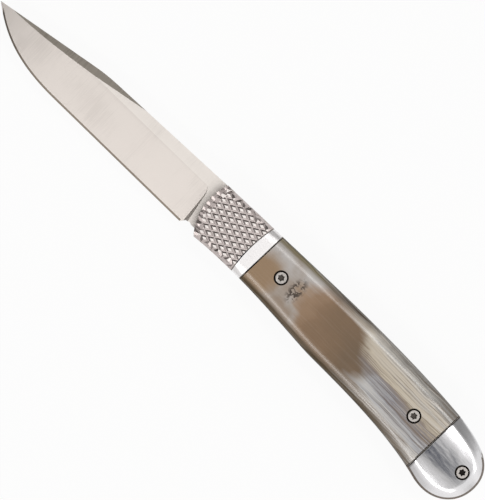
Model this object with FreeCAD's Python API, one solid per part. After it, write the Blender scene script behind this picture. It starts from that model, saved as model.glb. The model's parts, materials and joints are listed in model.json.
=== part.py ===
import FreeCAD
import Part
import math
import os

# Folding pocket knife with a spring-driven blade and a hidden release in the knurled front bolster.
# X runs from the blade tip to the butt, Y from the edge to the back, Z up through the thickness.
# The knife is drawn open round its pivot and then set down with its box centred on the origin.

# Stack of layers, from the back scale up to the front scale
scale_thickness = 4.0
liner_thickness = 1.3
washer_thickness = 0.2
blade_thickness = 3.0

# Blade
blade_reach = 91.7
blade_height = 17.2
fold_angle = 177.5
grind_rise = 13.0
plunge_foot = 8.1
plunge_lean = 2.6
plunge_round = 3.0
plunge_margin = 0.3
plunge_run = 1.5
clip_round = 4.0
edge_shoulder = 0.2
edge_bevel_width = 0.5
edge_land = 0.02
swedge_tip_half = 0.55
swedge_run_share = 0.0665
swedge_fall_share = 0.35
tang_radius = 7.6
tang_hump_reach = 7.0
ricasso_drop = 6.12

# Blade outline points, along the reach and up the height
tip_shares = (-1.0, 0.034)
clip_shares = (-0.599, 0.417)
hump_share = 0.57
heel_shares = (-0.111, -0.46)
notch_shares = (-0.098, -0.372)
belly_start_shares = (-0.665, -0.5)
belly_pole_shares = ((-0.818, -0.511), (-0.912, -0.336))

# Handle
handle_beyond_blade = 21.5
handle_over_blade = 6.9
shoulder_width = 2.4
shoulder_wall = 1.8
shoulder_turn = 62.0
shoulder_steps = 6
parting_gap = 0.3
parting_slope_share = 0.028
collar_rear = 13.87
end_bolster_length = 17.8

# Handle outline, six curves of four poles that share their ends, from the front foot round by the belly
outline_shares = (
    (-0.0357, -0.3386), (0.1325, -0.2544), (0.3283, -0.369),
    (0.3915, -0.369), (0.4834, -0.369), (0.6593, -0.3533),
    (0.7957, -0.522), (0.8632, -0.6055), (0.925, -0.4105),
    (0.925, -0.0945), (0.925, 0.2591), (0.8516, 0.3462),
    (0.7694, 0.395), (0.5147, 0.5068), (0.2127, 0.416),
    (-0.0649, 0.3859), (-0.0822, 0.1909), (-0.076, -0.1494),
)

# Release bolster, which swings along the arc that parts it from the collar
swing_radius = 45.0
swing_arc_front = 9.95
swing_arc_level = 0.6
swing_gap = 0.3
swing_angle = 2.3
bolster_shoulder_width = 1.3
knurl_start = (-1.48, -0.25)
knurl_step = 1.87
knurl_row = 2.02
knurl_slant_share = 0.4
knurl_depth = 0.45
knurl_sink = 0.3
knurl_top_share = 0.42
knurl_floor_share = 0.88
knurl_steepest_share = 1.2

# Pivot and washers
pivot_radius = 2.5
pivot_screw_radius = 1.4
pivot_head_radius = 3.6
pivot_head_thickness = 0.9
pivot_bolster_seat = 0.9
pivot_socket_radius = 0.9
pivot_socket_depth = 0.6
front_washer_radius = 4.2
back_washer_radius = 7.0

# Stop pin, beside the tang
stop_radius = 1.25
stop_reach = 10.73
stop_angle = 41.2

# Drive spring, a flat strip wound round the pivot
spring_inner_radius = 3.0
spring_strip = 0.4
spring_turn_gap = 0.25
spring_half_turns = 4
spring_height = 2.3
spring_pocket_radius = 4.8
spring_pocket_depth = 2.4
spring_tab = 0.8
spring_tab_depth = 1.2

# Lock spring and lock stud
lock_reach = 5.95
lock_angle = -25.0
lock_radius = 1.1
lock_depth = 1.6
lock_tenon_radius = 0.7
lock_rivet_radius = 1.2
lock_rivet_thickness = 0.3
leaf_thickness = 0.5
leaf_half_width = 2.2
leaf_front_reach = 1.6
leaf_length = 29.0
leaf_lip_length = 1.8
leaf_lip_back = 2.1
leaf_lip_rise = 0.8
leaf_lip_width = 0.7
leaf_lift_room = 2.1
leaf_screw_radius = 0.8
leaf_screw_head_radius = 1.4
leaf_screw_head_thickness = 0.7
leaf_screw_spacing = 3.6
leaf_end_margin = 2.0

# Return spring, a bowed leaf between the pivot head and the bolster
bow_thickness = 0.3
bow_height = 0.8
bow_half_span = 2.9
bow_rise = 2.9

# Guide studs of the release bolster, in arc slots of the front liner
guide_places = ((-5.4, 4.2), (5.3, 4.6))
guide_radius = 1.0
guide_head_radius = 1.8
guide_head_thickness = 0.5
guide_depth = 2.2

# Pins and screws
locating_radius = 0.8
locating_depth = 2.2
collar_pin_levels = (2.6, 6.3)
end_pin_ahead = 6.3
end_pin_level = 4.0
spacer_pin_radius = 0.75
spacer_pin_shares = (0.353, 0.62)
spacer_pin_margin = 1.5
spacer_front = 9.9
pocket_clearance = 0.8
screw_radius = 1.0
screw_head_radius = 1.7
screw_head_thickness = 1.2
screw_recess_radius = 2.2
screw_recess_depth = 1.5
socket_radius = 0.8
socket_waist_share = 0.7
socket_lobes = 6
socket_depth = 0.7
scale_screw_shares = ((0.197, 0.0515), (0.685, 0.005))
end_screw_shares = (0.8741, -0.0643)

# Clearances, and one overrun for all cuts
running_clearance = 0.05
fit_clearance = 0.02
overrun = 20.0

# Levels of the stack
back_liner_low = scale_thickness
back_liner_high = back_liner_low + liner_thickness
blade_low = back_liner_high + washer_thickness
blade_high = blade_low + blade_thickness
front_liner_low = blade_high + washer_thickness
front_liner_high = front_liner_low + liner_thickness
front_face = front_liner_high + scale_thickness
middle_level = (blade_low + blade_high) / 2
half_blade = blade_thickness / 2

# Sizes that follow from the ones above
handle_length = blade_reach + handle_beyond_blade
handle_height = blade_height + handle_over_blade
butt_reach = handle_length * max(share[0] for share in outline_shares)
end_bolster_front = butt_reach - end_bolster_length
swing_centre = (swing_arc_front + swing_radius, swing_arc_level)
stop_turn = math.radians(stop_angle)
stop_place = (stop_reach * math.cos(stop_turn), stop_reach * math.sin(stop_turn))
lock_turn = math.radians(lock_angle)
lock_place = (lock_reach * math.cos(lock_turn), lock_reach * math.sin(lock_turn))
scale_screw_places = [(handle_length * x, handle_height * y) for x, y in scale_screw_shares]
end_screw_place = (handle_length * end_screw_shares[0], handle_height * end_screw_shares[1])


def vector(x, y, z=0):
    return FreeCAD.Vector(x, y, z)


def disc(place, radius, low, high):
    return Part.makeCylinder(radius, high - low, vector(place[0], place[1], low))


def block(x_range, y_range, low, high):
    corner = vector(x_range[0], y_range[0], low)
    return Part.makeBox(x_range[1] - x_range[0], y_range[1] - y_range[0], high - low, corner)


def prism(points, low, high):
    corners = [vector(x, y, low) for x, y in points]
    face = Part.Face(Part.makePolygon(corners + corners[:1]))
    return face.extrude(vector(0, 0, high - low))


def side_prism(points, x_low, x_high):
    """A prism along X from a profile of (y, z) points."""
    corners = [vector(x_low, y, z) for y, z in points]
    face = Part.Face(Part.makePolygon(corners + corners[:1]))
    return face.extrude(vector(x_high - x_low, 0, 0))


def turned(place, centre, angle):
    """A place turned about a centre, in degrees."""
    cos, sin = math.cos(math.radians(angle)), math.sin(math.radians(angle))
    x, y = place[0] - centre[0], place[1] - centre[1]
    return (centre[0] + x * cos - y * sin, centre[1] + x * sin + y * cos)


def arc_slot(centre, place, half_width, angle, low, high):
    """The room that a round pin takes when it is carried about a centre by an angle."""
    reach = math.hypot(place[0] - centre[0], place[1] - centre[1])
    start = math.degrees(math.atan2(place[1] - centre[1], place[0] - centre[0]))
    foot = vector(centre[0], centre[1], low)
    first = min(start, start + angle)
    ring = Part.makeCylinder(reach + half_width, high - low, foot, vector(0, 0, 1), abs(angle))
    core = Part.makeCylinder(reach - half_width, high - low, foot)
    ring.rotate(foot, vector(0, 0, 1), first)
    ends = [disc(place, half_width, low, high), disc(turned(place, centre, angle), half_width, low, high)]
    return ring.cut(core).fuse(ends)


def to_back(shape):
    """The same piece on the back of the knife."""
    return shape.mirror(vector(0, 0, middle_level), vector(0, 0, 1))


# Handle outline and the block that scales and bolsters are cut from

def outline_poles(inset):
    poles = [vector(handle_length * x, handle_height * y) for x, y in outline_shares]
    moved = []
    for before, pole, after in zip(poles[-1:] + poles[:-1], poles, poles[1:] + poles[:1]):
        come = (pole - before).normalize()
        leave = (after - pole).normalize()
        mitre = vector(-come.y - leave.y, come.x + leave.x) / (1 + come.dot(leave))
        moved.append(pole + mitre * inset)
    return moved


def outline_wire(inset, level):
    poles = outline_poles(inset)
    ring = [pole + vector(0, 0, level) for pole in poles + poles[:1]]
    edges = []
    for first in range(0, len(poles), 3):
        curve = Part.BezierCurve()
        curve.setPoles(ring[first:first + 4])
        edges.append(curve.toShape())
    return Part.Wire(edges)


def outline_prism(low, high):
    return Part.Face(outline_wire(0, low)).extrude(vector(0, 0, high - low))


def shoulder_profile(thickness, width):
    """How far in and how high the rounded shoulder runs, from the liner up to the flat facet."""
    profile = [(0, 0)]
    full_turn = math.radians(shoulder_turn)
    for step in range(shoulder_steps + 1):
        turn = full_turn * step / shoulder_steps
        inward = width * (1 - math.cos(turn)) / (1 - math.cos(full_turn))
        height = shoulder_wall + (thickness - shoulder_wall) * math.sin(turn) / math.sin(full_turn)
        profile.append((inward, height))
    return profile


def handle_block(inset, thickness, width):
    wires = []
    for inward, height in shoulder_profile(thickness, width):
        wires.append(outline_wire(inset + inward, front_liner_high + height))
    return Part.makeLoft(wires, True, True)


def between_partings(front, rear):
    """A wide prism between two slightly slanting lines across the handle."""
    lean = overrun * parting_slope_share
    low_side = [(front - lean, -overrun), (rear - lean, -overrun)]
    high_side = [(rear + lean, overrun), (front + lean, overrun)]
    return prism(low_side + high_side, 0, front_face + overrun)


# Blade

def blade_point(shares):
    return vector(blade_reach * shares[0], blade_height * shares[1])


def edge_curves(level):
    """The straight cutting edge and its belly, at one level."""
    lift = vector(0, 0, level)
    straight = Part.makeLine(blade_point(heel_shares) + lift, blade_point(belly_start_shares) + lift)
    poles = [belly_start_shares, belly_pole_shares[0], belly_pole_shares[1], tip_shares]
    belly = Part.BezierCurve()
    belly.setPoles([blade_point(pole) + lift for pole in poles])
    return straight, belly.toShape()


def lines_through(corners):
    return [Part.makeLine(start, end) for start, end in zip(corners[:-1], corners[1:])]


def blade_outline():
    tip, clip = blade_point(tip_shares), blade_point(clip_shares)
    hump = vector(tang_hump_reach, blade_height * hump_share)
    clip_start = clip + (tip - clip).normalize() * clip_round
    clip_end = clip + (hump - clip).normalize() * clip_round
    soft_corner = Part.BezierCurve()
    soft_corner.setPoles([clip_start, clip, clip_end])
    tang = [clip_end, hump, vector(tang_hump_reach, 0), vector(0, 0), vector(0, -ricasso_drop)]
    tang += [blade_point(notch_shares), blade_point(heel_shares)]
    back = lines_through([tip, clip_start]) + [soft_corner.toShape()]
    return Part.Wire(back + lines_through(tang) + list(edge_curves(0)))


def above_surface(edge, along):
    """Everything above the surface that an edge sweeps along a direction."""
    return edge.extrude(along).extrude(vector(0, 0, overrun))


def ground_side():
    """Everything ahead of the plunge, whose wall slopes down into the grind and rounds over at its top."""
    heel = blade_point(heel_shares).y
    lean = plunge_lean / grind_rise
    top = heel + grind_rise + plunge_margin
    low = vector(-plunge_foot + lean * overrun, heel - overrun)
    corner = vector(-plunge_foot - plunge_lean, top)
    start = corner + (low - corner).normalize() * plunge_round
    end = corner - vector(plunge_round, 0)
    rounding = Part.BezierCurve()
    rounding.setPoles([start, corner, end])
    far = -blade_reach - overrun
    rest = [end, vector(far, top), vector(far, low.y), low, start]
    face = Part.Face(Part.Wire([rounding.toShape()] + lines_through(rest)))
    face.translate(vector(-plunge_run, 0))
    return face.extrude(vector(plunge_run, 0, half_blade) * (overrun / half_blade))


def grind_cutters():
    """Cutters for the front face: flat grind, edge bevel and swedge."""
    grind = vector(0, grind_rise, half_blade - edge_shoulder)
    heel, belly_start = blade_point(heel_shares), blade_point(belly_start_shares)
    past_heel = heel + (heel - belly_start).normalize() * plunge_foot
    lift = vector(0, 0, edge_shoulder)
    straight = Part.makeLine(past_heel + lift, belly_start + lift)
    belly = edge_curves(edge_shoulder)[1]
    cutters = []
    for edge in (straight, belly):
        edge.translate(grind * -1)
        cutters.append(above_surface(edge, grind * 3).common(ground_side()))
    bevel = vector(0, edge_bevel_width, edge_shoulder)
    for edge in edge_curves(edge_land):
        edge.translate(bevel * -1)
        cutters.append(above_surface(edge, bevel * 3))
    tip = blade_point(tip_shares)
    fall = vector(0, 1, -swedge_fall_share)
    swedge_start = vector(tip.x, tip.y, swedge_tip_half) - fall * overrun
    swedge_line = Part.makeLine(swedge_start - vector(1, 0, swedge_run_share) * overrun,
                                swedge_start + vector(1, 0, swedge_run_share) * blade_reach)
    cutters.append(above_surface(swedge_line, fall * overrun * 2))
    return cutters


def make_blade():
    body = Part.Face(blade_outline()).extrude(vector(0, 0, blade_thickness))
    body = body.fuse(disc((0, 0), tang_radius, 0, blade_thickness))
    body.translate(vector(0, 0, -half_blade))
    fronts = grind_cutters()
    backs = [cutter.mirror(vector(0, 0, 0), vector(0, 0, 1)) for cutter in fronts]
    body = body.cut(fronts + backs)
    body.translate(vector(0, 0, middle_level))
    track = arc_slot((0, 0), stop_place, stop_radius + running_clearance, -fold_angle, 0, front_face)
    pivot_hole = disc((0, 0), pivot_radius + running_clearance, 0, front_face)
    stud_room = lock_radius + running_clearance
    floor = blade_high - lock_depth - running_clearance
    closed_place = turned(lock_place, (0, 0), -fold_angle)
    locks = [disc(place, stud_room, floor, front_face) for place in (lock_place, closed_place)]
    return body.cut([track, pivot_hole, spring_tab_block(running_clearance)] + locks)


# Liners, backspacer and what holds them

def collar_pin_places():
    middle = (swing_arc_front + collar_rear) / 2
    return [(middle, level) for level in collar_pin_levels]


def end_pin_place():
    return (end_bolster_front + end_pin_ahead, end_pin_level)


def back_level(x):
    """Height of the handle's back above the pivot at a place along it."""
    line = Part.makeLine(vector(x, 0), vector(x, handle_height))
    return line.distToShape(outline_wire(0, 0))[1][0][1].y


def spacer_pin_places():
    along = [handle_length * share for share in spacer_pin_shares]
    return [(x, back_level(x) - spacer_pin_margin) for x in along]


def leaf_range():
    front = lock_place[0] - leaf_front_reach
    return front, front + leaf_length


def leaf_screw_places():
    rear = leaf_range()[1] - leaf_end_margin
    return [(rear - leaf_screw_spacing, lock_place[1]), (rear, lock_place[1])]


def shared_liner_holes(low, high):
    holes = [disc(stop_place, stop_radius + fit_clearance, low, high)]
    holes += [disc(place, spacer_pin_radius + fit_clearance, low, high) for place in spacer_pin_places()]
    holes += [disc(place, screw_radius + running_clearance, low, high) for place in scale_screw_places]
    holes += [disc(end_screw_place, screw_radius + running_clearance, low, high)]
    pins = collar_pin_places() + [end_pin_place()]
    holes += [disc(place, locating_radius + fit_clearance, low, high) for place in pins]
    return holes


def make_front_liner():
    low, high = front_liner_low, front_liner_high
    holes = shared_liner_holes(low, high)
    holes.append(disc((0, 0), pivot_radius + fit_clearance, low, high))
    holes.append(disc(lock_place, lock_radius + running_clearance, low, high))
    holes += [disc(place, leaf_screw_radius + fit_clearance, low, high) for place in leaf_screw_places()]
    head_room = low + guide_head_thickness + 2 * running_clearance
    for place in guide_places:
        slot = guide_radius + running_clearance
        recess = guide_head_radius + running_clearance
        holes.append(arc_slot(swing_centre, place, slot, swing_angle, low, high))
        holes.append(arc_slot(swing_centre, place, recess, swing_angle, low, head_room))
    return outline_prism(low, high).cut(holes)


def make_back_liner():
    low, high = back_liner_low, back_liner_high
    holes = shared_liner_holes(low, high)
    holes.append(disc((0, 0), spring_pocket_radius, low, high))
    holes += [disc(place, locating_radius + fit_clearance, low, high) for place in guide_places]
    return outline_prism(low, high).cut(holes)


def blade_pocket():
    """Room for the folded blade, open towards the belly."""
    shift = vector(pocket_clearance, pocket_clearance)
    straight, belly = edge_curves(0)
    curves = [straight, belly]
    for curve in curves:
        curve.rotate(vector(0, 0), vector(0, 0, 1), fold_angle)
        curve.translate(shift)
    heel = straight.Vertexes[0].Point
    tip = belly.Vertexes[-1].Point
    below = [vector(tip.x, -overrun), vector(0, -overrun), vector(0, heel.y)]
    face = Part.Face(Part.Wire(curves + lines_through([tip] + below + [heel])))
    return face.extrude(vector(0, 0, front_face))


def make_backspacer():
    low, high = back_liner_high, front_liner_low
    body = outline_prism(low, high)
    front = block((-overrun, spacer_front), (-overrun, overrun), low, high)
    holes = [disc(place, spacer_pin_radius + fit_clearance, low, high) for place in spacer_pin_places()]
    holes.append(disc(end_screw_place, screw_radius + running_clearance, low, high))
    return body.cut([front, blade_pocket()] + holes)


def make_spacer_pins():
    return [disc(place, spacer_pin_radius, back_liner_low, front_liner_high) for place in spacer_pin_places()]


def make_stop_pin():
    return disc(stop_place, stop_radius, back_liner_low, front_liner_high)


def locating_pin(place):
    low = front_liner_low + running_clearance
    return disc(place, locating_radius, low, front_liner_high + locating_depth)


def make_locating_pins():
    shared = [locating_pin(place) for place in collar_pin_places() + [end_pin_place()]]
    back_only = [to_back(locating_pin(place)) for place in guide_places]
    return shared + [to_back(pin) for pin in shared] + back_only


def locating_holes(places):
    top = front_liner_high + locating_depth + running_clearance
    return [disc(place, locating_radius + fit_clearance, 0, top) for place in places]


# Pivot, washers and drive spring

def make_pivot_barrel():
    low = back_liner_low - spring_pocket_depth - pivot_bolster_seat
    barrel = disc((0, 0), pivot_radius, low + running_clearance, front_liner_high)
    return barrel.cut(disc((0, 0), pivot_screw_radius + fit_clearance, blade_low, front_liner_high))


def make_pivot_screw():
    shank = disc((0, 0), pivot_screw_radius, blade_low + running_clearance, front_liner_high)
    head = disc((0, 0), pivot_head_radius, front_liner_high, front_liner_high + pivot_head_thickness)
    top = front_liner_high + pivot_head_thickness
    socket = disc((0, 0), pivot_socket_radius, top - pivot_socket_depth, top)
    return shank.fuse(head).cut(socket)


def make_front_washer():
    ring = disc((0, 0), front_washer_radius, blade_high, front_liner_low)
    return ring.cut(disc((0, 0), pivot_radius + running_clearance, blade_high, front_liner_low))


def make_back_washer():
    ring = disc((0, 0), back_washer_radius, back_liner_high, blade_low)
    return ring.cut(disc((0, 0), spring_pocket_radius, back_liner_high, blade_low))


def spring_levels():
    low = back_liner_low - spring_pocket_depth + running_clearance
    return low, low + spring_height


def half_turn(radius, middle, upper):
    reach = radius if upper else -radius
    start, end = vector(middle + reach, 0), vector(middle - reach, 0)
    return Part.Arc(start, vector(middle, reach), end).toShape()


def spring_tab_block(clearance):
    """The tab at the inner end of the spring, which reaches up into the tang."""
    x_range = (spring_inner_radius - clearance, spring_inner_radius + spring_strip + clearance)
    y_range = (-spring_tab - clearance, clearance)
    return block(x_range, y_range, spring_levels()[0], blade_low + spring_tab_depth + clearance)


def spring_anchor_block(clearance):
    """The outer end of the spring, turned out into a notch of the back bolster."""
    low, high = spring_levels()
    reach = spring_inner_radius + (spring_strip + spring_turn_gap) * spring_half_turns / 2
    x_range = (reach, spring_pocket_radius + spring_tab + clearance)
    y_range = (-spring_strip - clearance, clearance)
    return block(x_range, y_range, low - clearance, high + clearance)


def make_drive_spring():
    low, high = spring_levels()
    step = (spring_strip + spring_turn_gap) / 2
    inner, outer = [], []
    for turn in range(spring_half_turns):
        upper = turn % 2 == 0
        middle = 0 if upper else step
        radius = spring_inner_radius + turn * step
        inner.append(half_turn(radius, middle, upper))
        outer.append(half_turn(radius + spring_strip, middle, upper))
    start = Part.makeLine(vector(spring_inner_radius, 0), vector(spring_inner_radius + spring_strip, 0))
    end = spring_inner_radius + spring_half_turns * step
    finish = Part.makeLine(vector(end, 0), vector(end + spring_strip, 0))
    rim = Part.Wire(Part.__sortEdges__(inner + outer + [start, finish]))
    strip = Part.Face(rim).extrude(vector(0, 0, high - low))
    strip.translate(vector(0, 0, low))
    return strip.fuse([spring_tab_block(0), spring_anchor_block(0)])


# Lock spring, its stud and its screws

def make_lock_spring():
    front, rear = leaf_range()
    low = front_liner_high
    high = low + leaf_thickness
    edge = lock_place[1] + leaf_half_width
    leaf = block((front, rear), (lock_place[1] - leaf_half_width, edge), low, high)
    lip_front = lock_place[0] + leaf_lip_back
    lip = [(edge - leaf_lip_width, low), (edge, low), (edge, high)]
    lip += [(edge + leaf_lip_rise / 2, high + leaf_lip_rise), (edge - leaf_lip_width, high)]
    leaf = leaf.fuse(side_prism(lip, lip_front, lip_front + leaf_lip_length))
    holes = [disc(place, leaf_screw_radius + fit_clearance, low, high) for place in leaf_screw_places()]
    holes.append(disc(lock_place, lock_tenon_radius + fit_clearance, low, high))
    return leaf.cut(holes)


def make_lock_stud():
    top = front_liner_high + leaf_thickness
    stud = disc(lock_place, lock_radius, blade_high - lock_depth, front_liner_high)
    tenon = disc(lock_place, lock_tenon_radius, front_liner_high, top)
    rivet = disc(lock_place, lock_rivet_radius, top, top + lock_rivet_thickness)
    return stud.fuse([tenon, rivet])


def make_leaf_screws():
    screws = []
    top = front_liner_high + leaf_thickness
    for place in leaf_screw_places():
        shank = disc(place, leaf_screw_radius, front_liner_low + running_clearance, top)
        screws.append(shank.fuse(disc(place, leaf_screw_head_radius, top, top + leaf_screw_head_thickness)))
    return screws


def leaf_channel(height, margin):
    """Room for the leaf under the collar, the scale or the bolster."""
    front, rear = leaf_range()
    y_range = (lock_place[1] - leaf_half_width - margin, lock_place[1] + leaf_half_width + margin)
    return block((front - margin, rear + margin), y_range, front_liner_high, front_liner_high + height)


# Release bolster, with its return spring and guide studs

def swing_drop():
    """How far the bolster travels at the pivot."""
    return swing_centre[0] * math.radians(swing_angle)


def release_wedge():
    """The slope in the bolster that slips under the lip of the leaf."""
    edge = lock_place[1] + leaf_half_width
    tip = edge + leaf_lip_rise
    back = tip + swing_drop()
    low = front_liner_high + running_clearance
    front = lock_place[0] + leaf_lip_back + running_clearance
    profile = [(tip, low), (back, low), (back, low + leaf_lift_room)]
    return side_prism(profile, front, front + leaf_lip_length)


def release_pockets():
    low = front_liner_high
    head_top = low + pivot_head_thickness + running_clearance
    head_room = pivot_head_radius + swing_gap
    pockets = [arc_slot(swing_centre, (0, 0), head_room, -swing_angle, low, head_top)]
    wall = pivot_head_radius + bow_rise + bow_thickness + running_clearance
    bow_side = bow_half_span + bow_thickness + running_clearance
    pockets.append(block((-bow_side, bow_side), (0, wall), low, low + bow_height + 2 * running_clearance))
    edge = lock_place[1] + leaf_half_width
    reach = (edge + leaf_lip_rise + swing_drop(), lock_place[1] - leaf_half_width - swing_gap)
    front = leaf_range()[0] - swing_gap
    room = block((front, collar_rear), (reach[1], reach[0]), low, low + leaf_thickness + leaf_lift_room)
    pockets.append(room.cut(release_wedge()))
    return pockets


def make_return_spring():
    low = front_liner_high + running_clearance
    crown = pivot_head_radius + running_clearance
    ends = crown + bow_rise
    near = [vector(-bow_half_span, ends), vector(0, crown), vector(bow_half_span, ends)]
    far = [vector(point.x, point.y + bow_thickness) for point in near]
    edges = [Part.Arc(near[0], near[1], near[2]).toShape(), Part.makeLine(near[2], far[2])]
    edges += [Part.Arc(far[2], far[1], far[0]).toShape(), Part.makeLine(far[0], near[0])]
    bow = Part.Face(Part.Wire(edges)).extrude(vector(0, 0, bow_height))
    bow.translate(vector(0, 0, low))
    return bow


def make_guide_studs():
    studs = []
    low = front_liner_low + running_clearance
    for place in guide_places:
        head = disc(place, guide_head_radius, low, low + guide_head_thickness)
        studs.append(head.fuse(disc(place, guide_radius, low, front_liner_high + guide_depth)))
    return studs


def bolster_shoulder_at(x, y):
    """Height of the bolster's rounded shoulder above a place, and its fall along X and Y."""
    distance, places, _ = outline_wire(0, 0).distToShape(Part.Vertex(vector(x, y)))
    outward = (places[0][0] - vector(x, y)).normalize()
    profile = shoulder_profile(scale_thickness, bolster_shoulder_width)
    for (near, low), (far, high) in zip(profile[:-1], profile[1:]):
        if near <= distance < far:
            steepness = (high - low) / (far - near)
            height = low + steepness * (distance - near)
            return height, outward * min(steepness, knurl_steepest_share)
    return scale_thickness, vector(0, 0)


def knurl_vectors():
    slant = knurl_row * knurl_slant_share
    return vector(knurl_step, -slant), vector(knurl_step, knurl_row - slant)


def lozenge(share, level):
    first, second = knurl_vectors()
    signs = ((-1, -1), (1, -1), (1, 1), (-1, 1))
    return [(first * a + second * b) * share / 2 + vector(0, 0, level) for a, b in signs]


def flat_sided(low, high):
    """A solid with flat sides between a lower and an upper ring of corners."""
    rings = [low[::-1], high]
    rings += [[low[side - 1], low[side], high[side], high[side - 1]] for side in range(len(low))]
    shell = Part.makeShell([Part.Face(Part.makePolygon(ring + ring[:1])) for ring in rings])
    shell.sewShape()
    return Part.makeSolid(shell)


def knurl_bump(x, y):
    """One raised lozenge, which leans with the surface under it and meets its neighbours in grooves."""
    height, fall = bolster_shoulder_at(x, y)
    place = vector(x, y, front_liner_high + height)
    foot_share = 1 + (1 - knurl_top_share) * knurl_sink / knurl_depth
    rings = [lozenge(foot_share, -knurl_depth - knurl_sink), lozenge(knurl_top_share, 0)]
    rings = [[place + corner - vector(0, 0, corner.dot(fall)) for corner in ring] for ring in rings]
    return flat_sided(rings[0], rings[1])


def knurl_bumps():
    """The lattice of lozenges over the bolster's face."""
    first, second = knurl_vectors()
    region = Part.Face(outline_wire(0, 0))
    count = math.ceil(overrun / knurl_step)
    bumps = []
    for row in range(-count, count + 1):
        for column in range(-count, count + 1):
            place = vector(knurl_start[0], knurl_start[1]) + first * row + second * column
            inside = region.isInside(place, fit_clearance, True)
            if inside and place.x < swing_arc_front + knurl_step:
                bumps.append(knurl_bump(place.x, place.y))
    return bumps


def bolster_blank():
    """The knurled front bolster of one side, with no pockets."""
    region = outline_prism(front_liner_high, front_face).common(between_partings(-overrun, collar_rear))
    region = region.cut(disc(swing_centre, swing_radius + swing_gap, 0, front_face + overrun))
    floor = scale_thickness - knurl_depth * knurl_floor_share
    core = handle_block(knurl_sink, floor, bolster_shoulder_width).common(region)
    return core.fuse(knurl_bumps()).common(region)


def make_release_bolster(blank):
    top = front_liner_high + guide_depth + running_clearance
    holes = [disc(place, guide_radius + fit_clearance, 0, top) for place in guide_places]
    return blank.cut(release_pockets() + holes)


def make_back_bolster(blank):
    pocket_top = front_liner_high + spring_pocket_depth
    room = disc((0, 0), spring_pocket_radius, front_liner_high, pocket_top)
    seat = disc((0, 0), pivot_radius + fit_clearance, front_liner_high, pocket_top + pivot_bolster_seat)
    body = blank.cut([room, seat] + locating_holes(guide_places))
    return to_back(body).cut(spring_anchor_block(running_clearance))


# Collars, scales, end bolsters and their screws

def screw_room(place):
    """Counterbore and hole for a screw, from the outer face in."""
    recess = disc(place, screw_recess_radius, front_face - screw_recess_depth, front_face + overrun)
    return recess.fuse(disc(place, screw_radius + running_clearance, 0, front_face))


def six_lobe_socket(place, top):
    """A star-shaped socket, its six lobes drawn with straight sides."""
    corners = []
    for corner in range(2 * socket_lobes):
        angle = math.pi * corner / socket_lobes
        radius = socket_radius if corner % 2 == 0 else socket_radius * socket_waist_share
        corners.append((place[0] + radius * math.cos(angle), place[1] + radius * math.sin(angle)))
    return prism(corners, top - socket_depth, top)


def make_screw(place, low):
    seat = front_face - screw_recess_depth
    top = seat + screw_head_thickness
    head = disc(place, screw_head_radius, seat, top)
    return head.fuse(disc(place, screw_radius, low, seat)).cut(six_lobe_socket(place, top))


def make_scale_screws():
    return [make_screw(place, front_liner_low + running_clearance) for place in scale_screw_places]


def make_end_screw():
    return make_screw(end_screw_place, middle_level + running_clearance)


def make_collar(handle):
    band = handle.common(between_partings(0, collar_rear))
    band = band.common(disc(swing_centre, swing_radius, 0, front_face + overrun))
    return band.cut(locating_holes(collar_pin_places()))


def make_scale(handle):
    plate = handle.common(between_partings(collar_rear + parting_gap, end_bolster_front - parting_gap))
    return plate.cut([screw_room(place) for place in scale_screw_places])


def make_end_bolster(handle):
    cap = handle.common(between_partings(end_bolster_front, butt_reach + overrun))
    return cap.cut([screw_room(end_screw_place)] + locating_holes([end_pin_place()]))


def make_nodes():
    handle = handle_block(0, scale_thickness, shoulder_width)
    blank = bolster_blank()
    collar, scale, end_bolster = make_collar(handle), make_scale(handle), make_end_bolster(handle)
    scale_screws, end_screw = make_scale_screws(), make_end_screw()
    leaf_room = leaf_channel(leaf_thickness + leaf_lift_room, running_clearance)
    head_room = leaf_thickness + leaf_screw_head_thickness + running_clearance
    scale_channel = leaf_channel(head_room, swing_gap)
    return {
        "blade": [make_blade()],
        "front_liner": [make_front_liner()],
        "back_liner": [make_back_liner()],
        "backspacer": [make_backspacer()],
        "release_bolster": [make_release_bolster(blank)],
        "back_bolster": [make_back_bolster(blank)],
        "front_collar": [collar.cut(leaf_room)],
        "back_collar": [to_back(collar)],
        "front_scale": [scale.cut(scale_channel)],
        "back_scale": [to_back(scale)],
        "front_end_bolster": [end_bolster],
        "back_end_bolster": [to_back(end_bolster)],
        "pivot_barrel": [make_pivot_barrel()],
        "pivot_screw": [make_pivot_screw()],
        "front_washer": [make_front_washer()],
        "back_washer": [make_back_washer()],
        "stop_pin": [make_stop_pin()],
        "drive_spring": [make_drive_spring()],
        "lock_spring": [make_lock_spring()],
        "lock_stud": [make_lock_stud()],
        "leaf_screws": make_leaf_screws(),
        "return_spring": [make_return_spring()],
        "guide_studs": make_guide_studs(),
        "locating_pins": make_locating_pins(),
        "spacer_pins": make_spacer_pins(),
        "front_scale_screws": scale_screws,
        "back_scale_screws": [to_back(screw) for screw in scale_screws],
        "front_end_screw": [end_screw],
        "back_end_screw": [to_back(end_screw)],
    }


def write_nodes():
    nodes = make_nodes()
    whole = Part.makeCompound([solid for solids in nodes.values() for solid in solids])
    box = whole.optimalBoundingBox(False, False)
    shift = vector(-box.Center.x, -box.Center.y, -box.ZMin)
    os.makedirs("parts", exist_ok=True)
    for name, solids in nodes.items():
        shape = Part.makeCompound(solids) if len(solids) > 1 else solids[0]
        shape.translate(shift)
        shape.exportStep(os.path.join("parts", name + ".step"))
        print(name, len(shape.Solids), shape.isValid(), round(shape.Volume, 3))
    print("box", box.XLength, box.YLength, box.ZLength)
    print("pivot", shift, "swing centre", swing_centre[0] + shift.x, swing_centre[1] + shift.y)


write_nodes()
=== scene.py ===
import json
import math

import bmesh
import bpy
from mathutils import Matrix, Vector


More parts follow.
